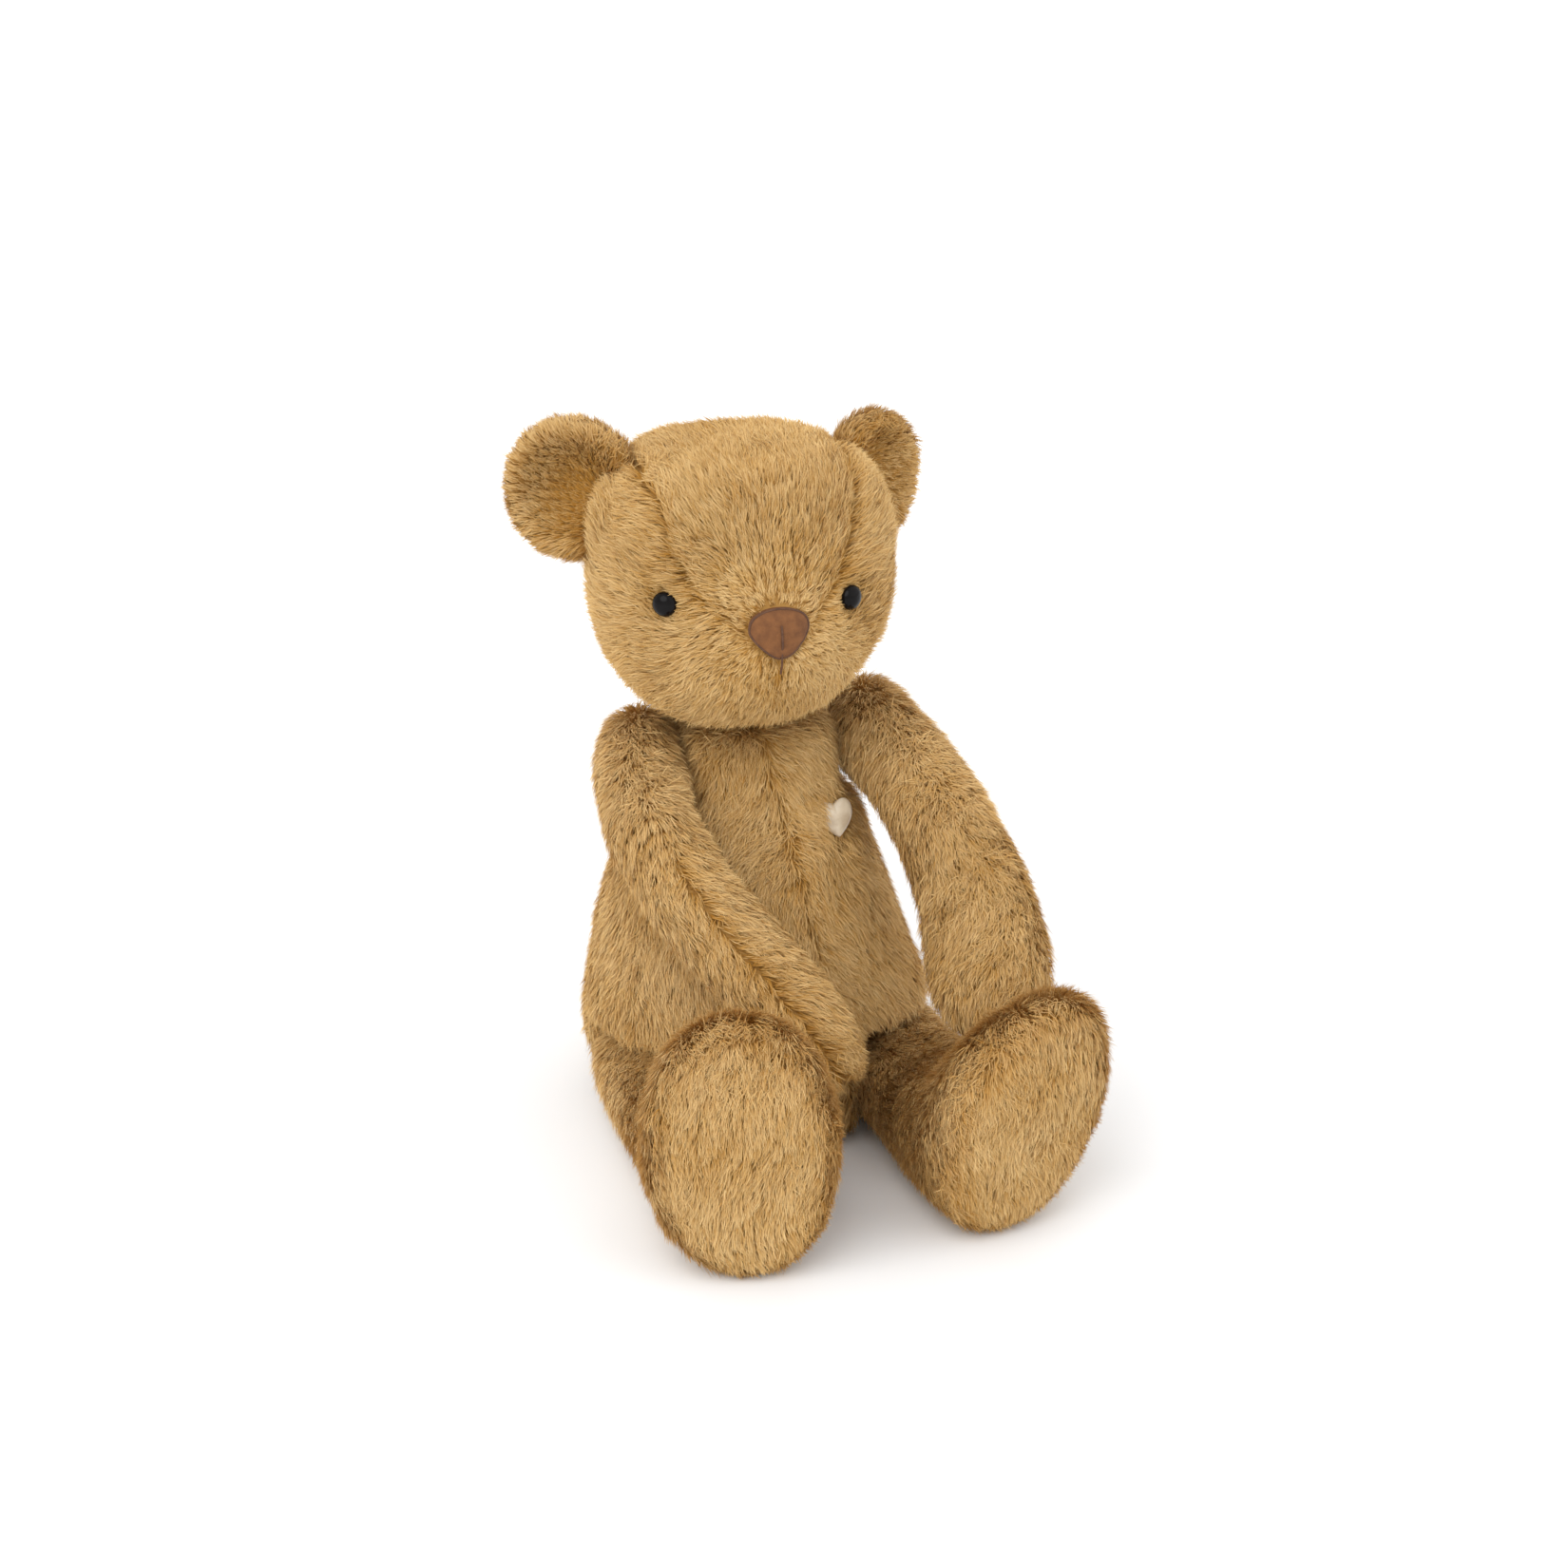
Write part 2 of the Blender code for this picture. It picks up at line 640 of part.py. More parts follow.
def nose(head, grown, looks, parent):
    """A domed pad with a rounded three-cornered outline, fitted to the muzzle."""
    start = Vector((HEAD_X, -200, NOSE_Z)) * MM
    tip, _ = on_surface(head, start, (0, 1, 0))
    rings = []
    for scale, forward in ((1, 7), (1, -0.5), (0.86, -2.2), (0.5, -3.2)):
        ring = []
        for step in range(24):
            angle = 2 * math.pi * step / 24
            narrow = 1 - 0.28 * max(0, -math.sin(angle)) + 0.04 * math.cos(4 * angle)
            x = NOSE_HALF_WIDTH * math.cos(angle) * narrow
            z = NOSE_HALF_HEIGHT * math.sin(angle)
            ring.append(tip + Vector((x * scale, forward, z * scale)) * MM)
        rings.append(ring)
    ends = [tip + Vector((0, forward, 0)) * MM for forward in (7, -3.5)]
    pad = object_from(closed_loft(rings, *ends), "nose_pad", looks["suede"], parent)
    boolean(pad, "DIFFERENCE", grown)


def mouth(head, looks, parent):
    """The stitched line that runs down from the nose."""
    curve = bpy.data.curves.new("mouth_stitch", "CURVE")
    curve.dimensions = "3D"
    curve.bevel_depth = STITCH_RADIUS
    curve.bevel_resolution = 1
    curve.use_fill_caps = True
    line = curve.splines.new("POLY")
    line.points.add(5)
    top = NOSE_Z - NOSE_HALF_HEIGHT - MOUTH_DROP
    for i, point in enumerate(line.points):
        start = Vector((HEAD_X, -200, top - MOUTH_LENGTH * i / 5)) * MM
        place, out = on_surface(head, start, (0, 1, 0))
        point.co = (*(place + out * 2 * STITCH_RADIUS), 1)
    obj = bpy.data.objects.new("mouth_stitch", curve)
    bpy.context.scene.collection.objects.link(obj)
    curve.materials.append(looks["suede"])
    obj.parent = parent
    obj.matrix_parent_inverse = parent.matrix_world.inverted()


def ear(side, word, grown, looks, parent):
    """A cupped ear of two layers, fitted to the side of the head."""
    place = Vector((HEAD_X + side * EAR_OUT, EAR_Y, EAR_Z[side])) * MM
    radius = EAR_RADIUS[side]
    faces = Vector((side * EAR_FACES[0], *EAR_FACES[1:])).normalized()
    for layer, top in (("front", 0), ("back", -EAR_WALL - GAP / MM)):
        face, under = [], []
        for part in (0, 0.35, 0.65, 0.87, 1):
            cup = EAR_CUP * (part * part - 1) + top
            face.append((radius * part * MM, cup * MM))
            under.append((radius * part * MM, (cup - EAR_WALL) * MM))
        rim = ((radius + EAR_RIM) * MM, (top - EAR_WALL / 2) * MM)
        profile = under + [rim] + face[::-1]
        piece = turned(f"ear_{word}_{layer}", place, faces, profile, looks["fur"], parent, segments=16)
        boolean(piece, "DIFFERENCE", grown)


def heart_badge(torso, looks):
    """A small plain heart on the chest."""
    start = Vector((BADGE_X, -200, BADGE_Z)) * MM
    place, out = on_surface(torso, start, (0, 1, 0))
    right = (-out).cross(Vector((0, 0, 1))).normalized()
    up = out.cross(right)
    bm = bmesh.new()
    back = []
    for step in range(28):
        t = 2 * math.pi * step / 28
        x = 16 * math.sin(t) ** 3
        y = 13 * math.cos(t) - 5 * math.cos(2 * t) - 2 * math.cos(3 * t) - math.cos(4 * t)
        flat = (right * x + up * y) * BADGE_SIZE / 32 * MM
        back.append(bm.verts.new(place + out * BADGE_STAND_OFF + flat))
    face = bm.faces.new(back)
    top = bmesh.ops.extrude_face_region(bm, geom=[face])["geom"]
    raised = [item for item in top if isinstance(item, bmesh.types.BMVert)]
    bmesh.ops.translate(bm, verts=raised, vec=out * BADGE_THICK)
    object_from(bm, "heart_badge", looks["badge"])


def make_head(looks):
    place, axis = joint_line("neck")
    pivot = joint_empty("neck_pivot", place, axis)
    head = head_shape()
    grown = shrunk(head, "head_grown", -GAP)
    hole, room, torso_room = joint_set("neck", NECK_PLATE, "neck_disc", looks, pivot)
    holes, rooms = [hole], [room]
    for side, word in ((1, "left"), (-1, "right")):
        eye_hole, eye_room = eye(head, side, word, looks, pivot)
        holes.append(eye_hole)
        rooms.append(eye_room)
        ear(side, word, grown, looks, pivot)
    nose(head, grown, looks, pivot)
    mouth(head, looks, pivot)
    across, up, back = Vector((1, 0, 0)), Vector((0, 0, 1)), Vector((0, 1, 0))
    start = Vector((HEAD_X, -100, 0)) * MM
    gussets = []
    for name, wider in (("gusset_inside", -SEAM_GAP), ("gusset_outside", 0)):
        sides = [(x * MM + wider, z * MM - wider) for x, z in GUSSET]
        outline = sides + [(-x, z) for x, z in reversed(sides)]
        gussets.append(prism(name, outline, start, across, up, back, 200 * MM))
    half = across * SEAM_GAP / 2
    middle = Vector((HEAD_X * MM, 0, 0))
    left = half_space("head_left_side", middle - half, across)
    right = half_space("head_right_side", middle + half, -across)
    seams = {
        "head_left_panel": [gussets[1], right],
        "head_right_panel": [gussets[1], left],
    }
    make_limb(head, "head", looks, pivot, seams, holes, rooms)
    gusset = copy_of(head, "head_centre_gusset", looks["fur"], pivot)
    boolean(gusset, "INTERSECT", gussets[0])
    boolean(gusset, "DIFFERENCE", bpy.data.objects["head_inner"])
    return hole, torso_room


def make_arm(word, spine, faces, looks):
    joint = f"shoulder_{word}"
    pivot = joint_empty(f"{joint}_pivot", *joint_line(joint))
    frames = arm_frames(spine, faces)
    hole, room, torso_room = joint_set(joint, SHOULDER_PLATE, f"arm_{word}_disc", looks, pivot)
    seams = {
        f"arm_{word}_outer_panel": [arm_half(frames, -1, f"arm_{word}_inner_half")],
        f"arm_{word}_inner_panel": [arm_half(frames, 1, f"arm_{word}_outer_half")],
    }
    make_limb(arm_shape(frames, word), f"arm_{word}", looks, pivot, seams, [hole], [room])
    return hole, torso_room


def make_leg(side, word, looks):
    joint = f"hip_{word}"
    hip, forward, out = leg_frame(side)
    pivot = joint_empty(f"{joint}_pivot", hip, out)
    hole, room, torso_room = joint_set(joint, HIP_PLATE, f"leg_{word}_disc", looks, pivot)
    half = SEAM_GAP / 2
    middle = hip + out * LEG_RINGS[-1][2] * LEG_SEAM_SHARE * MM
    turn = math.radians(FOOT_TURN)
    lean = Vector((0, 0, FOOT_LEAN[side][1]))
    toward = (forward * math.cos(turn) + out * math.sin(turn) - lean).normalized()
    heel = Vector((hip.x, hip.y, 0)) + (forward * SOLE_SEAM + out * LEG_RINGS[-1][2]) * MM
    ankle = heel + Vector((0, 0, LEG_RINGS[-1][1] * MM))
    inside = half_space(f"leg_{word}_inside", middle + out * half, -out)
    outside = half_space(f"leg_{word}_outside", middle - out * half, out)
    front = half_space(f"leg_{word}_front", ankle - toward * half, toward)
    behind = half_space(f"leg_{word}_behind", ankle + toward * half, -toward)
    seams = {
        f"leg_{word}_outer_panel": [inside, front],
        f"leg_{word}_inner_panel": [outside, front],
        f"leg_{word}_sole": [behind],
    }
    make_limb(leg_shape(side, word), f"leg_{word}", looks, pivot, seams, [hole], [room])
    return hole, torso_room


def main():
    clear_scene()
    looks = finishes()
    cutters = [
        make_head(looks),
        make_arm("left", ARM_LEFT_SPINE, ARM_LEFT_FACES, looks),
        make_arm("right", ARM_RIGHT_SPINE, ARM_RIGHT_FACES, looks),
        make_leg(1, "left", looks),
        make_leg(-1, "right", looks),
    ]
    torso = make_torso(looks, [hole for hole, _ in cutters], [room for _, room in cutters])
    heart_badge(torso, looks)


main()
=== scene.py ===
"""The jointed teddy bear as it looks: plush fur over stuffed fabric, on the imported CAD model's frame."""

import math

import bmesh
import bpy
import numpy as np
from mathutils import Matrix, Vector
from mathutils.bvhtree import BVHTree

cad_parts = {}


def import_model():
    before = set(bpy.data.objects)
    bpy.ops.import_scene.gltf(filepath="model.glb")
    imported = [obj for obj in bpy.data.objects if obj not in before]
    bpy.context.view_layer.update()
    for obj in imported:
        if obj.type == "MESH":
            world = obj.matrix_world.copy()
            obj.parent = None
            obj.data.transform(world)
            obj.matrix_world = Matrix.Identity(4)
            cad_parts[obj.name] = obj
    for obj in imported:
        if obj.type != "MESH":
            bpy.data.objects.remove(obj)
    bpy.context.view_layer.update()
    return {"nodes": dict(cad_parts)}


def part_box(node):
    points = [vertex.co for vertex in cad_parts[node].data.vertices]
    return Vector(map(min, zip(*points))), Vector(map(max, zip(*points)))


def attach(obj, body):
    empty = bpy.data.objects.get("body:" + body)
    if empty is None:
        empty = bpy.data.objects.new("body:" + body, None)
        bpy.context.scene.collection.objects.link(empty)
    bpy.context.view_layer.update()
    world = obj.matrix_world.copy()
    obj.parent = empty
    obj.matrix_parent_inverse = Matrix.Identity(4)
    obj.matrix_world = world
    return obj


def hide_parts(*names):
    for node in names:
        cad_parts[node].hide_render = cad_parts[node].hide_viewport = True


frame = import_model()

MM = 0.001
NODES = frame["nodes"]

# The bodies of the bear and the fur panels that each one's skin is sewn from.
PANELS = {
    "head": ["head_left_panel", "head_right_panel", "head_centre_gusset"],
    "torso": ["torso_left_panel", "torso_right_panel", "torso_base_panel"],
    "arm_left": ["arm_left_outer_panel", "arm_left_inner_panel"],
    "arm_right": ["arm_right_outer_panel", "arm_right_inner_panel"],
    "leg_left": ["leg_left_outer_panel", "leg_left_inner_panel", "leg_left_sole"],
    "leg_right": ["leg_right_outer_panel", "leg_right_inner_panel", "leg_right_sole"],
}
HEAD_CENTRE = np.array((-12, -8, 226)) * MM
NOSE = np.array((-12, -64, 223)) * MM
NOSE_PAD_Z = 224.5 * MM
# The line down the middle of each arm, from its shoulder to its paw.
ARM_LEFT = ((43, 14, 157), (44, -1, 152), (51, -27, 145), (60, -52, 128), (65, -76, 105), (62, -108, 64))
ARM_RIGHT = (
    (-50, 12, 157), (-52, -5, 152), (-59, -37, 142), (-47, -63, 116), (-25, -81, 90), (1, -107, 53),
)
ARM_LINES = {"arm_left": np.array(ARM_LEFT) * MM, "arm_right": np.array(ARM_RIGHT) * MM}
# The direction that each leg points in.
LEG_OUT = {"leg_left": np.array((0.1045, -0.9945, 0)), "leg_right": np.array((-0.0349, -0.9994, 0))}

# How deep each body's seams are pulled in, in millimetres.
SEAM_DEPTHS = {
    "head": 2.0, "torso": 1.0, "arm_left": 0.6, "arm_right": 0.5, "leg_left": 1.4, "leg_right": 1.4,
}
SEAM_WIDTH = 3.4 * MM
# The centre seam of the torso leans: its place across at the floor, and its slope.
BODY_SEAM_X = 21.5 * MM
BODY_SEAM_LEAN = 0.18
# How fine the surfaces of the bodies and of the ears are remeshed.
SKIN_VOXEL = 3.2 * MM
EAR_VOXEL = 1.4 * MM
# Places where the stuffing bulges, or lies lower where the rise is below zero: the bodies it is in, its middle,
# its reach and its rise, in millimetres.
FULL = {
    "shoulder_left": (("torso", "arm_left"), (35, 0, 152), 14, 1.6),
    "shoulder_right": (("torso", "arm_right"), (-42, 0, 152), 14, 1.2),
    "muzzle": (("head",), (-12, -60, 212), 20, 2.0),
    "left_toe": (("leg_left",), (52, -158, 99), 20, -1.4),
    "cheeks": (("head",), (-12, -50, 200), 24, 1.0),
    "right_hip": (("leg_right",), (-42, -20, 34), 30, 3.4),
    "right_waist": (("torso",), (-50, -30, 44), 20, 1.4),
}

STRANDS_PER_MM2 = 3.0
MOST_STRANDS = 64000
# The length of the pile on each body, in millimetres.
TORSO_PILE = 8.0
ARM_PILE = 7.6
LEG_PILE = 7.8
SOLE_PILE = 6.6
# The width of a strand, the size of a tuft, and how many strands stand up out of the others.
STRAND_WIDTH = 0.48 * MM
TUFT_SIZE = 3.8 * MM
LOOSE_SHARE = 0.18
# No strand of the pile goes lower than this: the bear sits on the floor.
FLOOR_GAP = 0.3 * MM


# ---------------------------------------------------------------- materials

def fur_material(name, dark, middle, light):
    """Fur colour along each strand, from its dark root to its light tip, with soft patches."""
    mat = bpy.data.materials.new(name)
    mat.use_nodes = True
    nt = mat.node_tree
    bsdf = nt.nodes["Principled BSDF"]
    shade = nt.nodes.new("ShaderNodeAttribute")
    shade.attribute_name = "shade"
    ramp = nt.nodes.new("ShaderNodeValToRGB")
    ramp.color_ramp.elements[0].position = 0.0
    ramp.color_ramp.elements[0].color = (*dark, 1)
    ramp.color_ramp.elements[1].position = 1.0
    ramp.color_ramp.elements[1].color = (*light, 1)
    mid = ramp.color_ramp.elements.new(0.5)
    mid.color = (*middle, 1)
    nt.links.new(shade.outputs["Fac"], ramp.inputs["Fac"])
    nt.links.new(ramp.outputs["Color"], bsdf.inputs["Base Color"])
    bsdf.inputs["Roughness"].default_value = 0.6
    bsdf.inputs["Specular IOR Level"].default_value = 0.16
    return mat


def plain(name, colour, roughness=0.85):
    mat = bpy.data.materials.new(name)
    mat.use_nodes = True
    bsdf = mat.node_tree.nodes["Principled BSDF"]
    bsdf.inputs["Base Color"].default_value = (*colour, 1)
    bsdf.inputs["Roughness"].default_value = roughness
    return mat


def noisy(name, low, high, scale, roughness=0.8, bump=0.0, bump_scale=400.0, **more):
    """A material whose colour wanders between two shades, with an optional fine bump."""
    mat = bpy.data.materials.new(name)
    mat.use_nodes = True
    nt = mat.node_tree
    bsdf = nt.nodes["Principled BSDF"]
    place = nt.nodes.new("ShaderNodeTexCoord")
    noise = nt.nodes.new("ShaderNodeTexNoise")
    noise.inputs["Scale"].default_value = scale
    noise.inputs["Detail"].default_value = 4
    ramp = nt.nodes.new("ShaderNodeValToRGB")
    ramp.color_ramp.elements[0].position = 0.35
    ramp.color_ramp.elements[0].color = (*low, 1)
    ramp.color_ramp.elements[1].position = 0.65
    ramp.color_ramp.elements[1].color = (*high, 1)
    nt.links.new(place.outputs["Object"], noise.inputs["Vector"])
    nt.links.new(noise.outputs["Fac"], ramp.inputs["Fac"])
    nt.links.new(ramp.outputs["Color"], bsdf.inputs["Base Color"])
    bsdf.inputs["Roughness"].default_value = roughness
    if bump:
        fine = nt.nodes.new("ShaderNodeTexNoise")
        fine.inputs["Scale"].default_value = bump_scale
        fine.inputs["Detail"].default_value = 3
        height = nt.nodes.new("ShaderNodeBump")
        height.inputs["Strength"].default_value = bump
        height.inputs["Distance"].default_value = 0.0006
        nt.links.new(place.outputs["Object"], fine.inputs["Vector"])
        nt.links.new(fine.outputs["Fac"], height.inputs["Height"])
        nt.links.new(height.outputs["Normal"], bsdf.inputs["Normal"])
    for key, value in more.items():
        bsdf.inputs[key.replace("_", " ")].default_value = value
    return mat


FUR = fur_material("plush", (0.44, 0.205, 0.03), (0.63, 0.385, 0.135), (0.79, 0.555, 0.255))
FUR_PLAIN = plain("plush_plain", (0.50, 0.30, 0.12))
BACKING = noisy("backing", (0.36, 0.185, 0.04), (0.46, 0.25, 0.065), 60, 0.95)
EYE = noisy("eye_gloss", (0.004, 0.003, 0.003), (0.007, 0.006, 0.006), 200, 0.16, Specular_IOR_Level=0.12)
SUEDE = noisy("nose_suede", (0.150, 0.056, 0.017), (0.220, 0.086, 0.026), 260, 0.9, bump=0.5, bump_scale=1400)
THREAD = noisy("nose_thread", (0.075, 0.030, 0.013), (0.12, 0.050, 0.022), 500, 0.75)
PEARL = noisy(
    "heart_pearl", (0.58, 0.47, 0.33), (0.78, 0.68, 0.52), 180, 0.28,
    bump=0.15, bump_scale=500, Coat_Weight=0.3,
)
PLATE = noisy("plate_plastic", (0.74, 0.73, 0.68), (0.80, 0.79, 0.75), 90, 0.45)
LOCK = noisy("lock_steel", (0.50, 0.50, 0.49), (0.62, 0.62, 0.60), 300, 0.32, Metallic=1.0)


# ---------------------------------------------------------------- meshes

def normals_of(obj):
    normals = np.empty(len(obj.data.vertices) * 3)
    obj.data.vertices.foreach_get("normal", normals)
    return normals.reshape(-1, 3)


def move_points(obj, points):
    obj.data.vertices.foreach_set("co", points.ravel())
    obj.data.update()
    obj.data.shade_smooth()


def mesh_arrays(obj):
    mesh = obj.data
    mesh.calc_loop_triangles()
    points = np.empty(len(mesh.vertices) * 3)
    mesh.vertices.foreach_get("co", points)
    faces = np.empty(len(mesh.loop_triangles) * 3, np.int64)
    mesh.loop_triangles.foreach_get("vertices", faces)
    return points.reshape(-1, 3), faces.reshape(-1, 3)


def build(name, points, faces, material, smooth=True):
    mesh = bpy.data.meshes.new(name)
    mesh.from_pydata([tuple(p) for p in points], [], [tuple(f) for f in faces])
    mesh.materials.append(material)
    if smooth:
        mesh.shade_smooth()
    obj = bpy.data.objects.new(name, mesh)
    bpy.context.scene.collection.objects.link(obj)
    return obj


def apply_all(obj):
    """The object's evaluated mesh in place of its own, with no modifier left."""
    graph = bpy.context.evaluated_depsgraph_get()
    graph.update()
    made = bpy.data.meshes.new_from_object(obj.evaluated_get(graph), depsgraph=graph)
    obj.modifiers.clear()
    obj.data = made
    return obj


def joined(name, nodes):
    """One object with the closed shapes of several CAD nodes in it."""
    points, faces, start = [], [], 0
    for node in nodes:
        p, f = mesh_arrays(NODES[node])
        points.append(p)
        faces.append(f + start)
        start += len(p)
    return build(name, np.concatenate(points), np.concatenate(faces), BACKING)


def vector_noise(points, scale, seed):
    """A smooth random vector for each point, from sums of sines."""
    rng = np.random.default_rng(seed)
    out = np.zeros((len(points), 3))
    for k in range(6):
        turn = rng.normal(size=(3, 3)) / scale * (0.6 + 0.25 * k)
        phase = rng.uniform(0, 2 * np.pi, 3)
        out += np.sin(points @ turn + phase) / (1 + 0.4 * k)
    return out / 2.4


def unit(v):
    return v / np.maximum(np.linalg.norm(v, axis=-1, keepdims=True), 1e-12)


def seam_data(points, panels):
    """Each point's panel, its distance to the nearest other panel, which is its seam, and the way from it."""
    far, spots = [], []
    for node in panels:
        p, f = mesh_arrays(NODES[node])
        tree = BVHTree.FromPolygons([tuple(v) for v in p], [tuple(t) for t in f])
        found = [tree.find_nearest(Vector(point)) for point in points]
        far.append([hit[3] for hit in found])
        spots.append([tuple(hit[0]) for hit in found])
    far, spots = np.array(far), np.array(spots)
    order = np.argsort(far, axis=0)
    rows = np.arange(len(points))
    seam = order[1]
    return order[0], far[seam, rows], unit(points - spots[seam, rows])


def softened(name, nodes, voxel, passes):
    """Several CAD nodes made one smooth closed surface."""
    obj = joined(name, nodes)
    remesh = obj.modifiers.new("remesh", "REMESH")
    remesh.mode = "VOXEL"
    remesh.voxel_size = voxel
    soften = obj.modifiers.new("soften", "SMOOTH")
    soften.factor = 0.5
    soften.iterations = passes
    apply_all(obj)
    largest_only(obj)
    return obj


def soft_skin(body, panels):
    """The stuffed fabric skin of a body: its panels made one surface, softened, with the seams pulled in."""
    obj = softened(f"{body}_skin", panels + [f"{body}_stuffing"], SKIN_VOXEL, 8)
    points, _ = mesh_arrays(obj)
    panel, seam, away = seam_data(points, panels)
    depth = SEAM_DEPTHS[body] * MM
    pull = depth * seam_strength(points, body) * np.exp(-((seam / SEAM_WIDTH) ** 2))
    puff = 0.9 * MM * vector_noise(points, 22 * MM, 5)[:, 0] - 0.7 * MM + fullness(points, body)
    move_points(obj, points + normals_of(obj) * (puff - pull)[:, None])
    return obj, panel, seam, away


def fullness(points, body):
    """How far each point moves out for the places where the stuffing bulges or lies lower."""
    extra = np.zeros(len(points))
    for bodies, spot, reach, rise in FULL.values():
        if body in bodies:
            gap = np.linalg.norm(points - np.array(spot) * MM, axis=1)
            extra += rise * MM * np.exp(-((gap / (reach * MM)) ** 2))
    return extra


def largest_only(obj):
    """Drops any closed surface inside the skin, such as round a joint's hardware."""
    bm = bmesh.new()
    bm.from_mesh(obj.data)
    left = set(bm.verts)
    groups = []
    while left:
        stack = [left.pop()]
        group = list(stack)
        while stack:
            vert = stack.pop()
            for edge in vert.link_edges:
                other = edge.other_vert(vert)
                if other in left:
                    left.remove(other)
                    stack.append(other)
                    group.append(other)
        groups.append(group)
    groups.sort(key=len, reverse=True)
    for group in groups[1:]:
        bmesh.ops.delete(bm, geom=group, context="VERTS")
    bm.to_mesh(obj.data)
    bm.free()


def scattered(obj, rng, per_mm2, vertex_values):
    """Random points on a surface: place, normal, face's first corner, and each vertex value carried over."""
    points, faces = mesh_arrays(obj)
    normals = normals_of(obj)
    a, b, c = (points[faces[:, i]] for i in range(3))
    area = np.linalg.norm(np.cross(b - a, c - a), axis=1) / 2
    count = int(area.sum() * 1e6 * per_mm2)
    pick = rng.choice(len(faces), count, p=area / area.sum())
    u, v = rng.random(count), rng.random(count)
    flip = u + v > 1
    u[flip], v[flip] = 1 - u[flip], 1 - v[flip]
    w = 1 - u - v
    weights = np.stack((w, u, v), axis=1)[:, :, None]
    place = (points[faces[pick]] * weights).sum(axis=1)
    normal = unit((normals[faces[pick]] * weights).sum(axis=1))
    corner = faces[pick, weights[:, :, 0].argmax(axis=1)]
    return place, normal, [values[corner] for values in vertex_values]


def tufts(root, normal, size):
    """The way along the skin from each root to the middle of its tuft, and that tuft's own tone."""
    cell = np.floor(root / size)
    key = (cell.astype(np.int64) * np.array((73856093, 19349663, 83492791))).sum(axis=1)
    jitter = np.stack([((key * k) % 997) / 997.0 - 0.5 for k in (31, 57, 91)], axis=1)
    pull = (cell + 0.5 + 0.8 * jitter) * size - root
    pull = pull - normal * (pull * normal).sum(axis=1, keepdims=True)
    return pull, ((key * 17) % 991) / 991.0 - 0.5


def strand_mesh(name, points, levels):
    """A mesh of strands, each a quad and a triangle over its five points, with the shade at each point."""
    n = len(points)
    base = np.arange(n)[:, None] * 5
    loops = np.concatenate((base + np.array((0, 1, 3, 2)), base + np.array((2, 3, 4))), axis=1).ravel()
    starts = (np.arange(n)[:, None] * 7 + np.array((0, 4))).ravel()
    mesh = bpy.data.meshes.new(name)
    mesh.vertices.add(n * 5)
    mesh.vertices.foreach_set("co", points.astype(np.float32).ravel())
    mesh.loops.add(len(loops))
    mesh.loops.foreach_set("vertex_index", loops.astype(np.int32))
    mesh.polygons.add(n * 2)
    mesh.polygons.foreach_set("loop_start", starts.astype(np.int32))
    mesh.update(calc_edges=True)
    mesh.shade_smooth()
    shade = mesh.attributes.new("shade", "FLOAT", "POINT")
    shade.data.foreach_set("value", np.clip(levels, 0, 1).astype(np.float32).ravel())
    return mesh


def strands(name, root, normal, flow, length, rng, lift=0.42, light_and_shade_add=0):
    """A piece of fur: one thin tapered strand of two segments for each root."""
    n = len(root)
    length = length * rng.uniform(0.75, 1.2, n)
    flow = flow - normal * (flow * normal).sum(axis=1, keepdims=True)
    swirl = 0.42 * vector_noise(root, 12 * MM, 11) + 0.34 * vector_noise(root, 4.5 * MM, 12)
    flow = unit(flow + swirl + 0.22 * rng.normal(size=(n, 3)))
    flow = unit(flow - normal * (flow * normal).sum(axis=1, keepdims=True))
    loose = 0.55 * (rng.random(n) < LOOSE_SHARE)
    lift = lift + 0.20 * vector_noise(root, 7 * MM, 14)[:, 0]
    rise = np.clip(lift + 0.16 * rng.normal(size=n) + loose, 0.12, 1.3)[:, None]
    start = unit(flow + normal * (rise + 0.5))
    end = unit(flow + normal * (rise * 0.45))
    pull, tone = tufts(root, normal, TUFT_SIZE)
    bunch = rng.uniform(0.10, 0.46, n)[:, None]
    middle = root + start * (length * 0.5)[:, None] + pull * bunch
    curl = 0.16 * vector_noise(root, 3 * MM, 15)
    tip = middle + unit(end + curl) * (length * 0.55)[:, None] + pull * bunch
    side = unit(np.cross(end, normal) + 0.45 * normal * rng.normal(size=(n, 1)))
    half = (STRAND_WIDTH / 2 * rng.uniform(0.7, 1.3, n))[:, None] * side
    sunk = root - normal * 0.4 * MM
    points = np.stack((sunk - half, sunk + half, middle - half * 0.8, middle + half * 0.8, tip), axis=1)
    points[:, :, 2] = np.maximum(points[:, :, 2], FLOOR_GAP)
    # Each strand's tone: random, by tuft and in soft patches, plus the painted light and shade that it is
    # given.
    own = 0.15 * rng.normal(size=n) + 0.27 * tone + 0.14 * vector_noise(root, 12 * MM, 13)[:, 0] + light_and_shade_add
    levels = np.stack((0.10 + own * 0.5, 0.10 + own * 0.5, 0.50 + own, 0.50 + own, 0.84 + own), axis=1)
    mesh = strand_mesh(name, points, levels)
    mesh.materials.append(FUR_PLAIN)
    obj = bpy.data.objects.new(name, mesh)
    bpy.context.scene.collection.objects.link(obj)
    obj.material_slots[0].link = "OBJECT"
    obj.material_slots[0].material = FUR
    return obj


# ---------------------------------------------------------------- how the pile lies

def head_flow(p, panel):
    away = unit(p - NOSE)
    behind = np.clip((p[:, 1] - HEAD_CENTRE[1]) / (35 * MM), 0, 1)[:, None]
    down = np.array((0, 0.1, -1.0))
    flow = away * (1 - behind) + down * behind
    length = 3.0 + 5.0 * np.clip((np.linalg.norm(p - NOSE, axis=1) / MM - 10) / 26, 0, 1)
    return flow, length


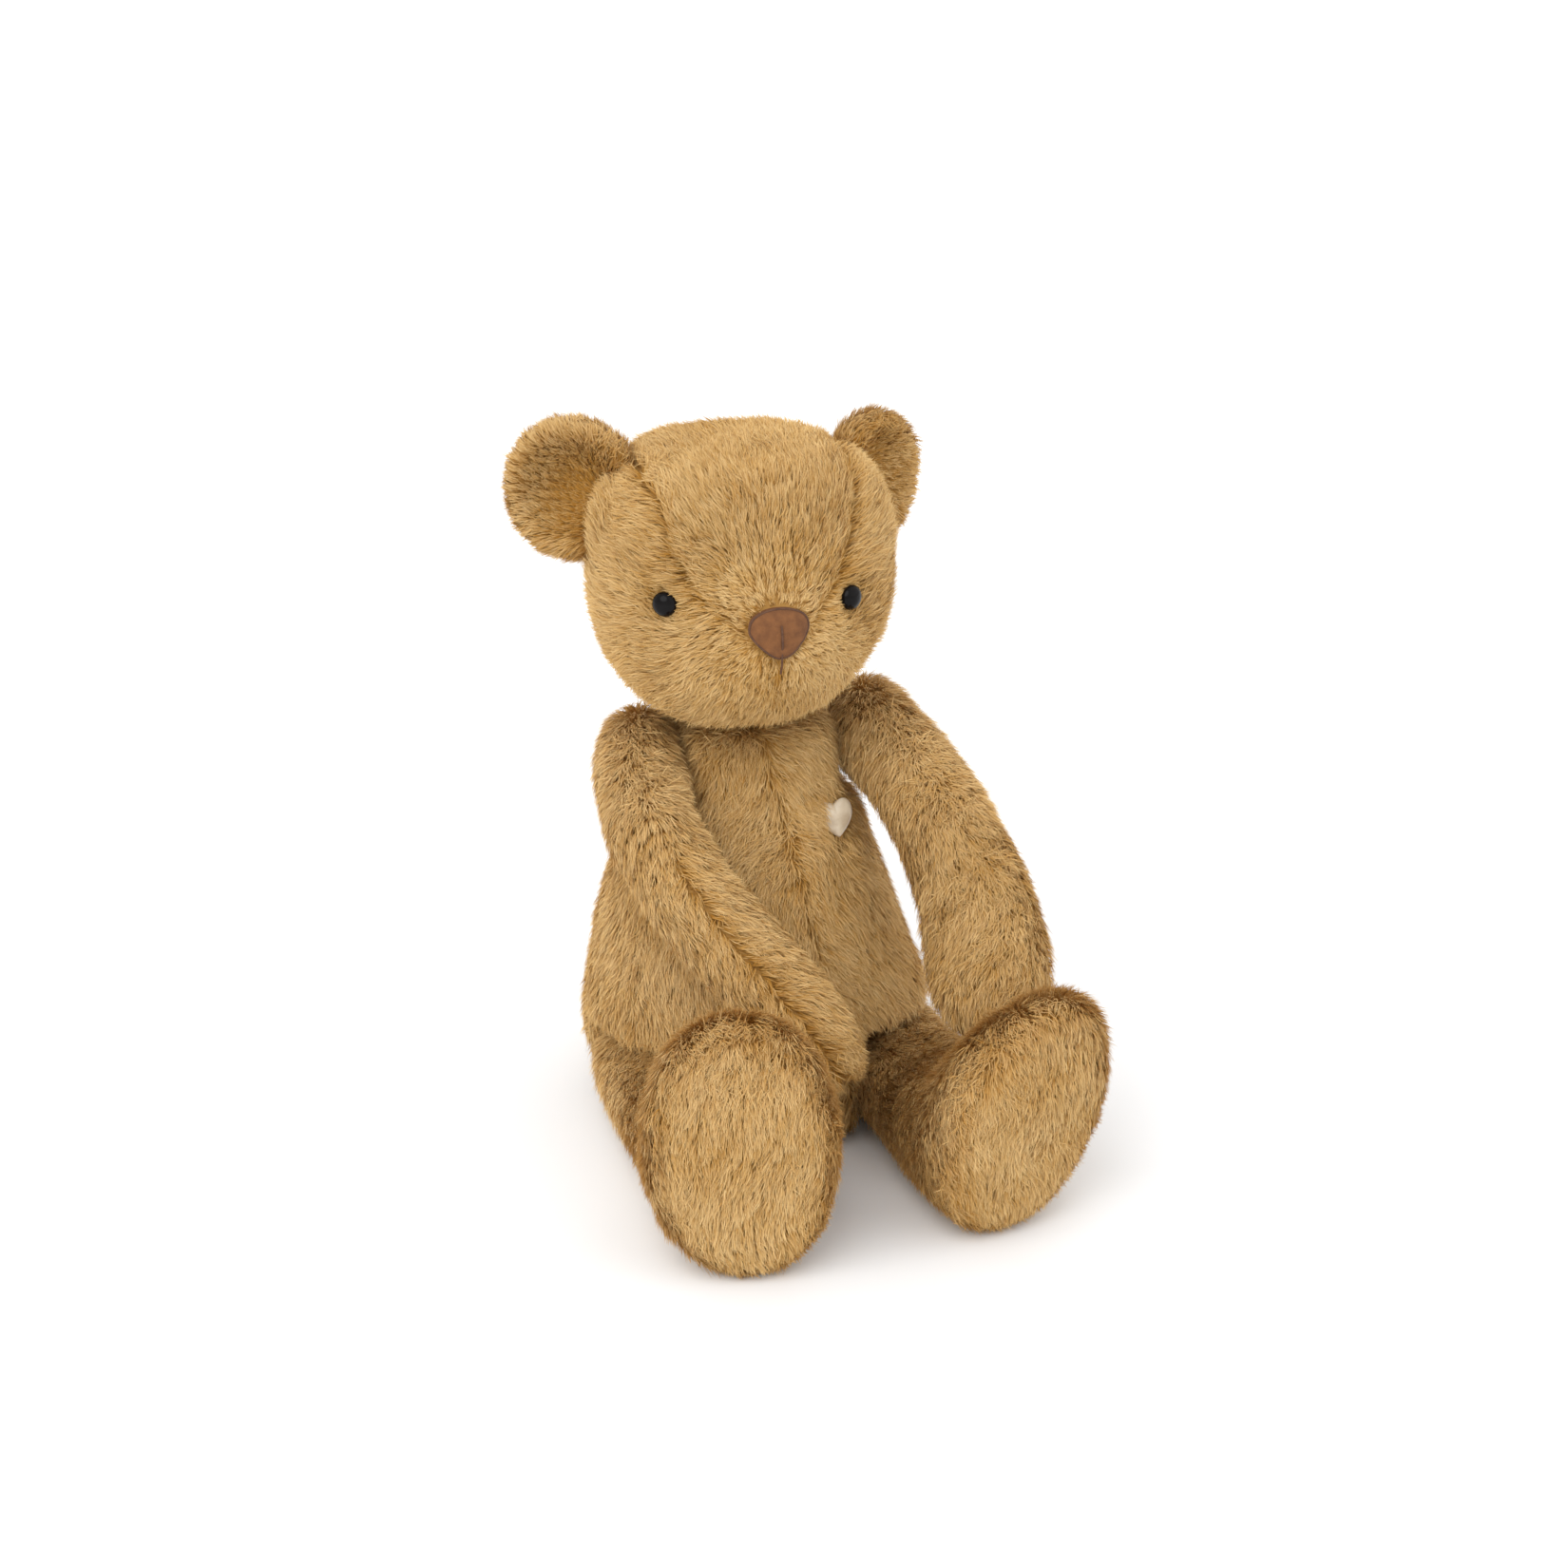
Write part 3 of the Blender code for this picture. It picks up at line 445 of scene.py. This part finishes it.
def torso_flow(p, panel):
    middle = BODY_SEAM_X - BODY_SEAM_LEAN * p[:, 2]
    away = np.tanh((p[:, 0] - middle) / (6 * MM)) * np.exp(-np.abs(p[:, 0] - middle) / (14 * MM))
    flow = np.stack((0.7 * away, np.zeros(len(p)), -np.ones(len(p))), axis=1)
    return flow, np.full(len(p), TORSO_PILE)


def arm_flow(line):
    def flow_of(p, panel):
        mids = (line[1:] + line[:-1]) / 2
        runs = unit(line[1:] - line[:-1])
        near = np.linalg.norm(p[:, None] - mids[None], axis=2)
        weight = np.exp(-((near / (18 * MM)) ** 2)) + 1e-9
        flow = (weight[:, :, None] * runs[None]).sum(axis=1)
        high = np.clip((p[:, 2] / MM - 118) / 30, 0, 1)[:, None]
        down = np.array((0, 0, -1.0))
        return unit(flow) * (1 - 0.8 * high) + down * (0.25 + high), np.full(len(p), ARM_PILE)
    return flow_of


def leg_flow(along):
    def flow_of(p, panel):
        sole = panel == 2
        reach = np.clip((-p[:, 1] / MM - 20) / 50, 0, 1)[:, None]
        hanging = np.array((0, -0.2, -1.0))
        flow = (along + np.array((0, 0, -0.3))) * reach + hanging * (1 - reach)
        flow[sole] = np.array((0, 0, -1.0))
        length = np.where(sole, SOLE_PILE, LEG_PILE)
        return flow, length
    return flow_of


FLOWS = {"head": head_flow, "torso": torso_flow}
for arm_name, arm_line in ARM_LINES.items():
    FLOWS[arm_name] = arm_flow(arm_line)
for leg_name, leg_along in LEG_OUT.items():
    FLOWS[leg_name] = leg_flow(leg_along)


def centre_of(name):
    low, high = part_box(name)
    return (np.array(low) + np.array(high)) / 2


# ---------------------------------------------------------------- the bear

def eye_line(node):
    """The point where an eye's dome starts and the direction it faces."""
    points, _ = mesh_arrays(NODES[node])
    rough = unit(points.mean(axis=0) - HEAD_CENTRE)
    tip, end = points[(points @ rough).argmax()], points[(points @ rough).argmin()]
    out = unit(tip - end)
    return tip - out * 2.9 * MM, out


EYES = {word: eye_line(f"eye_{word}") for word in ("left", "right")}
EYE_RADIUS = 4.9 * MM
TRIM_CLEAR = 4.2 * MM
HEART = centre_of("heart_badge")


def trim_gap(p, body):
    """Distance from each point to the nearest eye or to the heart."""
    if body == "head":
        return np.min([np.linalg.norm(p - place, axis=1) for place, _ in EYES.values()], axis=0)
    if body == "torso":
        return np.linalg.norm(p - HEART, axis=1)
    return np.full(len(p), 1.0)


def nose_gap(p):
    across, up = (p[:, 0] - NOSE[0]) / (11.5 * MM), (p[:, 2] - NOSE_PAD_Z) / (8.4 * MM)
    return np.where(p[:, 1] > -50 * MM, 9.0, np.sqrt(across ** 2 + up ** 2))


def clear_of_trim(p, body):
    keep = trim_gap(p, body) > TRIM_CLEAR
    if body == "head":
        keep &= nose_gap(p) > 0.98
    return keep


def seam_strength(p, body):
    """How far the pile parts at a seam, and how dark the painted shade along it is: least under the chin and
    down the belly, most on the arms.
    """
    if body == "head":
        return 0.25 + 0.6 * np.clip((p[:, 2] / MM - 204) / 26, 0, 1)
    if body.startswith("arm"):
        below_shoulder = np.clip((150 - p[:, 2] / MM) / 22, 0, 1)
        return {"arm_right": 1.0, "arm_left": 0.55}[body] * below_shoulder
    return np.full(len(p), 0.42 if body == "torso" else 0.6)


def near_trim(p, body):
    """The pile is shorter beside the eyes and the heart."""
    return 0.45 + 0.55 * np.clip((trim_gap(p, body) - 4 * MM) / (7 * MM), 0, 1)


# Painted light and shade in the pile's tone: lighter on the tops of the arms, with painted shade round the eyes
# and in the crease under the nose.
def painted_light_and_shade(p, body):
    # Painted light: the pile on the tops of the arms is made lighter.
    if body.startswith("arm"):
        return 0.14 * np.clip((p[:, 2] / MM - 130) / 25, 0, 1)
    if body != "head":
        return 0
    # Painted shade round the eyes, where they sit in the pile.
    shade_round_eyes = -0.30 * np.exp(-((trim_gap(p, body) / (8 * MM)) ** 2))
    # Painted shade in the crease of the mouth below the nose.
    crease = np.exp(-(((p[:, 0] - NOSE[0]) / (1.7 * MM)) ** 2) - ((p[:, 2] / MM - 208) / 6) ** 2)
    return shade_round_eyes - 0.4 * crease * (p[:, 1] < NOSE[1] / 2)


def make_body(body, panels, seed):
    skin, panel, seam, away = soft_skin(body, panels)
    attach(skin, body)
    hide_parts(*panels, f"{body}_stuffing")
    rng = np.random.default_rng(seed)
    density = STRANDS_PER_MM2 * 1
    place, normal, (which, gap, apart) = scattered(skin, rng, density, [panel, seam, away])
    keep = clear_of_trim(place, body)
    place, normal, which, gap, apart = place[keep], normal[keep], which[keep], gap[keep], apart[keep]
    flow, length = FLOWS[body](place, which)
    strong = seam_strength(place, body)
    parting = np.exp(-((gap / (5.0 * MM)) ** 2)) * strong
    flow = unit(flow) + 0.9 * apart * parting[:, None]
    # The pile is darkened along each seam: painted shade in the crease where the pile parts, plus the painted
    # light and shade below.
    shade = -0.30 * strong * np.exp(-((gap / (2.6 * MM)) ** 2)) + painted_light_and_shade(place, body)
    length = length * near_trim(place, body) * MM
    for i, node in enumerate(panels):
        mine = np.flatnonzero(which == i)
        chunks = max(1, math.ceil(len(mine) / MOST_STRANDS))
        for k in range(chunks):
            part = mine[k::chunks]
            if not len(part):
                continue
            tail = f"_{k + 1}" if chunks > 1 else ""
            fur = strands(
                f"{node}_fur{tail}", place[part], normal[part], flow[part], length[part], rng,
                light_and_shade_add=shade[part],
            )
            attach(fur, body)


def spread_from(points, middle, faces):
    """Each point's distance from the line through the middle in the direction that the ear faces."""
    across = points - middle
    return np.linalg.norm(across - (across @ faces)[:, None] * faces, axis=1)


def make_ear(word, seed):
    nodes = [f"ear_{word}_front", f"ear_{word}_back"]
    obj = softened(f"ear_{word}_skin", nodes, EAR_VOXEL, 10)
    side = 1 if word == "left" else -1
    faces = unit(np.array((side * 0.55, -0.82, 0.12)))
    points, _ = mesh_arrays(obj)
    middle = (points.max(axis=0) + points.min(axis=0)) / 2
    from_middle = spread_from(points, middle, faces)
    rim = np.clip(from_middle / (22 * MM), 0, 1) ** 2
    move_points(obj, points + normals_of(obj) * (rim * 2.2 * MM)[:, None])
    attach(obj, "head")
    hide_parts(*nodes)
    rng = np.random.default_rng(seed)
    root = HEAD_CENTRE + np.array((side * 44, 14, 28)) * MM
    density = STRANDS_PER_MM2 * 1.1 * 1
    place, normal, _ = scattered(obj, rng, density, [])
    flow = unit(place - root)
    inner = (normal @ faces) > 0.35
    spread = spread_from(place, middle, faces) / (23 * MM)
    length = np.where(inner, 2.6 + 3.6 * np.clip(spread, 0, 1) ** 2, 6.5) * MM
    for label, mine in (("front", np.flatnonzero(inner)), ("back", np.flatnonzero(~inner))):
        # The front fur is darker towards the head: painted shade in the hollow of the ear.
        depth = np.linalg.norm(place[mine] - root, axis=1) / (34 * MM)
        fur = strands(
            f"ear_{word}_{label}_fur", place[mine], normal[mine], flow[mine], length[mine], rng, lift=0.35,
            light_and_shade_add=-0.9 * np.clip(1 - depth, 0, 0.5) if label == "front" else 0,
        )
        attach(fur, "head")


for number, (body_name, panel_names) in enumerate(PANELS.items()):
    make_body(body_name, panel_names, 100 + number)
make_ear("left", 201)
make_ear("right", 202)


def paint(nodes, material):
    """Gives CAD nodes that are shown as they are a finish of their own."""
    for node in nodes:
        for entry in NODES[node].material_slots:
            entry.link = "OBJECT"
            entry.material = material


def lathe(name, start, axis, profile, material, segments=48):
    """A profile of (radius, distance along the axis) turned about an axis; its ends are closed to points."""
    axis = Vector(axis)
    turn = axis.to_track_quat("Z", "Y").to_matrix()
    points, faces = [], []
    for radius, along in profile:
        for k in range(segments):
            angle = 2 * math.pi * k / segments
            spoke = turn @ Vector((radius * math.cos(angle), radius * math.sin(angle), 0))
            points.append(Vector(start) + axis * along + spoke)
    for row in range(len(profile) - 1):
        for k in range(segments):
            a, b = row * segments + k, row * segments + (k + 1) % segments
            faces.append((a, b, b + segments, a + segments))
    last = (len(profile) - 1) * segments
    faces.append(tuple(range(segments))[::-1])
    faces.append(tuple(range(last, last + segments)))
    return build(name, points, faces, material)


def make_eye(word):
    """A polished black dome, standing just proud of the pile."""
    start, out = EYES[word]
    profile = [(0.3 * EYE_RADIUS, -4 * MM), (0.3 * EYE_RADIUS, 0), (0.94 * EYE_RADIUS, 0.2 * MM)]
    for k in range(15):
        angle = math.radians(6 * k)
        profile.append((EYE_RADIUS * math.cos(angle), 1.0 * MM + 0.72 * EYE_RADIUS * math.sin(angle)))
    eye = lathe(f"eye_{word}_dome", start, out, profile, EYE)
    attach(eye, "head")
    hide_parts(f"eye_{word}")


def nose_outline(angle):
    """A rounded triangle with its flat side up, as (across, up) in millimetres."""
    low = max(0.0, -math.sin(angle))
    across = 11.7 * math.cos(angle) * (1 - 0.42 * low ** 1.2)
    up = 10.2 * math.sin(angle) if math.sin(angle) < 0 else 8.2 * math.sin(angle) ** 0.7
    return across, up


# The rings of the nose pad: each one's share of the outline and how far it stands out of the face.
NOSE_RINGS = (
    (0.94, -1.2), (1.0, 1.2), (1.0, 2.4), (0.95, 3.2), (0.85, 3.6), (0.65, 4.1), (0.4, 4.5), (0.15, 4.7)
)


def make_nose():
    """The suede nose pad, its stitched edge, and the stitched line down its middle to the mouth."""
    head = BVHTree.FromObject(bpy.data.objects["head_skin"], bpy.context.evaluated_depsgraph_get())
    centre = Vector((NOSE[0], NOSE[1], NOSE_PAD_Z))

    def on_face(across, up, proud):
        spot = Vector((centre.x + across * MM, -0.2, centre.z + up * MM))
        hit = head.ray_cast(spot, Vector((0, 1, 0)))[0]
        return hit + Vector((0, -1, 0)) * proud * MM

    count = 64
    rows = []
    for scale, proud in NOSE_RINGS:
        rows.append([])
        for k in range(count):
            across, up = nose_outline(2 * math.pi * k / count)
            rows[-1].append(on_face(across * scale, up * scale, proud))
    points = [point for row in rows for point in row]
    faces = []
    for r in range(len(rows) - 1):
        for k in range(count):
            a, b = r * count + k, r * count + (k + 1) % count
            faces.append((a, a + count, b + count, b))
    last = (len(rows) - 1) * count
    faces.append(tuple(range(count)))
    faces.append(tuple(range(last, last + count))[::-1])
    pad = build("nose_suede", points, faces, SUEDE)
    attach(pad, "head")
    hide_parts("nose_pad")
    rim = []
    for k in range(count):
        across, up = nose_outline(2 * math.pi * k / count)
        rim.append(on_face(across * 0.985, up * 0.985, 2.7))
    thread("nose_edge_stitch", rim, 0.55 * MM, True)
    down = [on_face(0, 3.0 - 2.0 * k, 4.9 if k < 5 else 3.4) for k in range(11)]
    line = thread("nose_middle_stitch", down, 0.42 * MM, False)
    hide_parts("mouth_stitch")


def thread(name, places, radius, cyclic):
    curve = bpy.data.curves.new(name, "CURVE")
    curve.dimensions = "3D"
    curve.bevel_depth = radius
    curve.bevel_resolution = 2
    curve.use_fill_caps = not cyclic
    line = curve.splines.new("POLY")
    line.points.add(len(places) - 1)
    for point, place in zip(line.points, places):
        point.co = (*place, 1)
    line.use_cyclic_u = cyclic
    curve.materials.append(THREAD)
    obj = bpy.data.objects.new(name, curve)
    bpy.context.scene.collection.objects.link(obj)
    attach(obj, "head")
    return obj


def make_heart():
    """A small domed heart, plain, standing proud of the pile on the chest."""
    torso = BVHTree.FromObject(bpy.data.objects["torso_skin"], bpy.context.evaluated_depsgraph_get())
    place, out, _, _ = torso.find_nearest(Vector(HEART))
    out = (Vector(out) + Vector((-0.25, -0.5, 0.1))).normalized()
    right = (-out).cross(Vector((0, 0, 1))).normalized()
    up = out.cross(right)
    count, size = 60, 16.5 / 32
    rings = ((0.9, 0.0), (1.0, 3.0), (1.0, 3.6), (0.94, 4.2), (0.8, 4.6), (0.5, 4.9), (0.2, 5.0))
    rows, faces = [], []
    for scale, proud in rings:
        for k in range(count):
            t = 2 * math.pi * k / count
            x = 15 * math.copysign(abs(math.sin(t)) ** 1.7, math.sin(t))
            y = 14.5 * math.cos(t) - 3.6 * math.cos(2 * t) - 1.4 * math.cos(3 * t) - 0.6 * math.cos(4 * t)
            rows.append(place + (right * x * scale + up * (y + 1.5) * scale) * size * MM + out * proud * MM)
    for r in range(len(rings) - 1):
        for k in range(count):
            a, b = r * count + k, r * count + (k + 1) % count
            faces.append((a, b, b + count, a + count))
    faces.append(tuple(range(count))[::-1])
    faces.append(tuple(range((len(rings) - 1) * count, len(rings) * count)))
    heart = build("heart_pearl", rows, faces, PEARL)
    bm = bmesh.new()
    bm.from_mesh(heart.data)
    bmesh.ops.recalc_face_normals(bm, faces=bm.faces)
    bm.to_mesh(heart.data)
    bm.free()
    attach(heart, "torso")
    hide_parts("heart_badge")


make_eye("left")
make_eye("right")
make_nose()
make_heart()
paint([n for n in NODES if n.endswith("_lock")], LOCK)
paint([n for n in NODES if n.endswith(("_disc", "_washer")) or n.startswith("eye_washer")], PLATE)


# ---------------------------------------------------------------- stage, light and camera

def floor():
    corners = [(-6, -6, 0), (6, -6, 0), (6, 6, 0), (-6, 6, 0)]
    build("floor", corners, [(0, 1, 2, 3)], plain("floor_white", (0.97, 0.975, 0.98), 0.9))


def sun(name, towards, angle, strength):
    """A large soft light, far off in the given direction."""
    light = bpy.data.lights.new(name, "SUN")
    light.angle = math.radians(angle)
    light.energy = strength
    obj = bpy.data.objects.new(name, light)
    bpy.context.scene.collection.objects.link(obj)
    obj.matrix_world = Vector(towards).to_track_quat("Z", "Y").to_matrix().to_4x4()


def world(colour, strength):
    made = bpy.data.worlds.new("studio")
    made.use_nodes = True
    background = made.node_tree.nodes["Background"]
    background.inputs["Color"].default_value = (*colour, 1)
    background.inputs["Strength"].default_value = strength
    bpy.context.scene.world = made


def camera():
    azimuth, elevation, distance = math.radians(-16), math.radians(24), 1.5
    back = Vector((
        math.sin(azimuth) * math.cos(elevation),
        -math.cos(azimuth) * math.cos(elevation),
        math.sin(elevation),
    ))
    data = bpy.data.cameras.new("camera")
    data.lens = 87.27
    data.sensor_width = 36
    obj = bpy.data.objects.new("camera", data)
    bpy.context.scene.collection.objects.link(obj)
    target = Vector((0, -0.03, 0.1444))
    turn = back.to_track_quat("Z", "Y").to_matrix().to_4x4()
    obj.matrix_world = Matrix.Translation(target + back * distance) @ turn
    bpy.context.scene.camera = obj


floor()
world((1, 1, 1), 0.95)
sun("key", (-0.7, -0.6, 1.0), 50, 1.30)
sun("fill", (0.9, -0.5, 0.9), 70, 0.35)
camera()
bpy.context.scene.view_settings.view_transform = "Standard"
